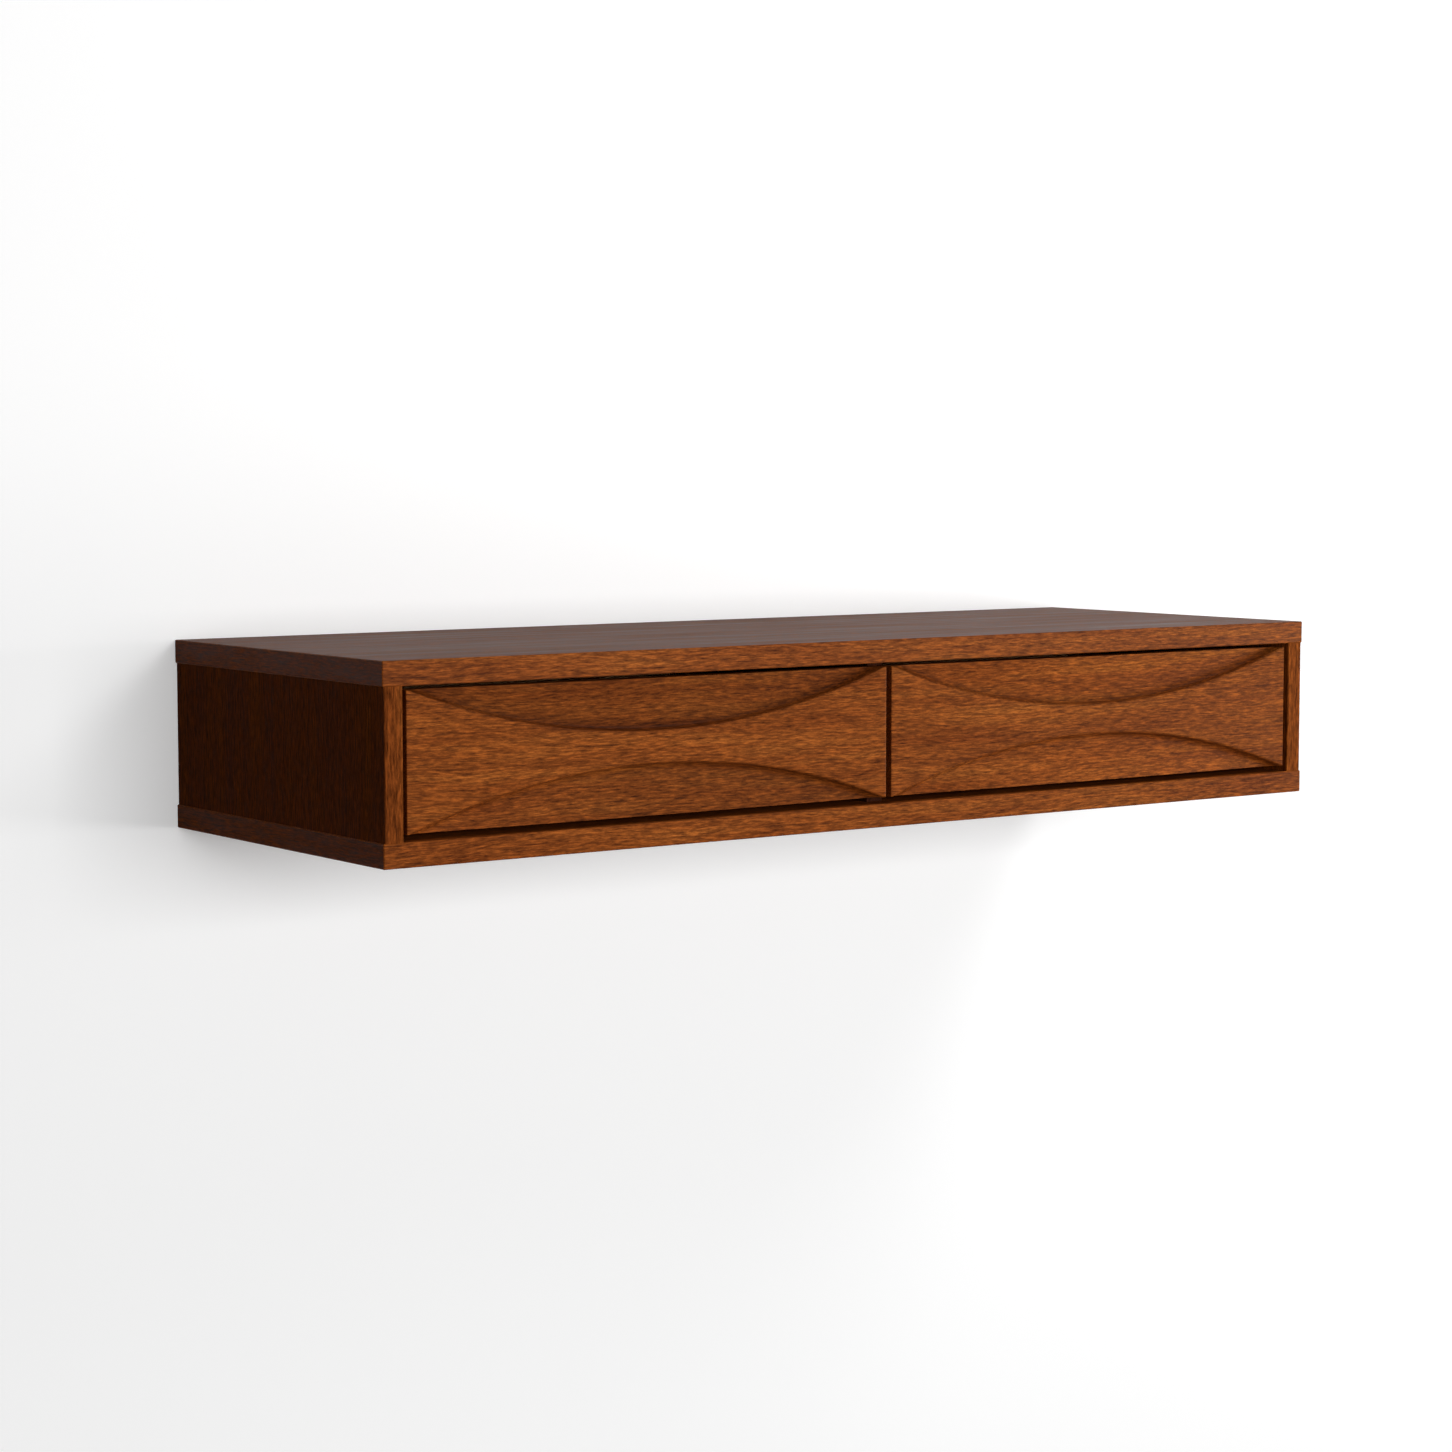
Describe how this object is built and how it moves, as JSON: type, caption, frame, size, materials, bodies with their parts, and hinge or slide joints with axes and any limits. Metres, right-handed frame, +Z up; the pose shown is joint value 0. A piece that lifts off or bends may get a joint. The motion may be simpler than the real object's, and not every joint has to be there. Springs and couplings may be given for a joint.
{
  "type": "wall-mounted console table",
  "caption": "Floating wall console table with two inset carved-front drawers on ball-bearing rails, hung on a bevelled wall cleat.",
  "frame": {"origin": "centre of the wall cleat's four screw holes, on the wall plane", "axes": "+X along the wall to the right seen from the front, front faces -Y, wall at Y = 0, +Z up"},
  "size_m": [1.1, 0.39, 0.178],
  "materials": {
    "walnut": "satin oiled, dark red-brown",
    "drawer_wood": "clear satin on pale hardwood",
    "plywood": "clear satin plywood",
    "cleat_wood": "plain sanded",
    "zinc_rail": "zinc-plated rolled steel",
    "ball_steel": "polished steel balls",
    "screw_zinc": "yellow zinc screws"
  },
  "bodies": {
    "cabinet": {"top_board": "walnut", "bottom_board": "walnut", "left_side_board": "walnut", "right_side_board": "walnut", "centre_divider": "walnut", "back_panel": "plywood", "hanger_rail": "cleat_wood", "wall_cleat": "cleat_wood", "hanger_screws": "screw_zinc", "cabinet_rail_screws": "screw_zinc", "left_inboard_cabinet_rail": "zinc_rail", "left_outboard_cabinet_rail": "zinc_rail", "right_inboard_cabinet_rail": "zinc_rail", "right_outboard_cabinet_rail": "zinc_rail"},
    "left_drawer": {"left_carved_front": "walnut", "left_inner_front": "drawer_wood", "left_box_back": "drawer_wood", "left_inboard_side": "drawer_wood", "left_outboard_side": "drawer_wood", "left_bottom": "plywood", "left_front_screws": "screw_zinc", "left_rail_screws": "screw_zinc", "left_inboard_drawer_rail": "zinc_rail", "left_outboard_drawer_rail": "zinc_rail"},
    "left_middle_rails": {"left_inboard_middle_rail": "zinc_rail", "left_outboard_middle_rail": "zinc_rail"},
    "left_outer_cages": {"left_outer_balls": "ball_steel", "left_inboard_outer_cage": "zinc_rail", "left_outboard_outer_cage": "zinc_rail"},
    "left_inner_cages": {"left_inner_balls": "ball_steel", "left_inboard_inner_cage": "zinc_rail", "left_outboard_inner_cage": "zinc_rail"},
    "right_drawer": {"right_carved_front": "walnut", "right_inner_front": "drawer_wood", "right_box_back": "drawer_wood", "right_inboard_side": "drawer_wood", "right_outboard_side": "drawer_wood", "right_bottom": "plywood", "right_front_screws": "screw_zinc", "right_rail_screws": "screw_zinc", "right_inboard_drawer_rail": "zinc_rail", "right_outboard_drawer_rail": "zinc_rail"},
    "right_middle_rails": {"right_inboard_middle_rail": "zinc_rail", "right_outboard_middle_rail": "zinc_rail"},
    "right_outer_cages": {"right_outer_balls": "ball_steel", "right_inboard_outer_cage": "zinc_rail", "right_outboard_outer_cage": "zinc_rail"},
    "right_inner_cages": {"right_inner_balls": "ball_steel", "right_inboard_inner_cage": "zinc_rail", "right_outboard_inner_cage": "zinc_rail"}
  },
  "joints": [
    {"name": "left_drawer_slide", "type": "slide", "parent": "cabinet", "child": "left_drawer", "axis": [0, -1, 0], "range_m": [0, 0.3]},
    {"name": "left_middle_rail_slide", "type": "slide", "parent": "cabinet", "child": "left_middle_rails", "axis": [0, -1, 0], "range_m": [0, 0.15]},
    {"name": "left_outer_cage_slide", "type": "slide", "parent": "cabinet", "child": "left_outer_cages", "axis": [0, -1, 0], "range_m": [0, 0.075]},
    {"name": "left_inner_cage_slide", "type": "slide", "parent": "cabinet", "child": "left_inner_cages", "axis": [0, -1, 0], "range_m": [0, 0.225]},
    {"name": "right_drawer_slide", "type": "slide", "parent": "cabinet", "child": "right_drawer", "axis": [0, -1, 0], "range_m": [0, 0.3]},
    {"name": "right_middle_rail_slide", "type": "slide", "parent": "cabinet", "child": "right_middle_rails", "axis": [0, -1, 0], "range_m": [0, 0.15]},
    {"name": "right_outer_cage_slide", "type": "slide", "parent": "cabinet", "child": "right_outer_cages", "axis": [0, -1, 0], "range_m": [0, 0.075]},
    {"name": "right_inner_cage_slide", "type": "slide", "parent": "cabinet", "child": "right_inner_cages", "axis": [0, -1, 0], "range_m": [0, 0.225]}
  ],
  "couplings": [
    {"joint": "left_middle_rail_slide", "follows": "left_drawer_slide", "ratio": 0.5},
    {"joint": "left_outer_cage_slide", "follows": "left_drawer_slide", "ratio": 0.25},
    {"joint": "left_inner_cage_slide", "follows": "left_drawer_slide", "ratio": 0.75},
    {"joint": "right_middle_rail_slide", "follows": "right_drawer_slide", "ratio": 0.5},
    {"joint": "right_outer_cage_slide", "follows": "right_drawer_slide", "ratio": 0.25},
    {"joint": "right_inner_cage_slide", "follows": "right_drawer_slide", "ratio": 0.75}
  ]
}
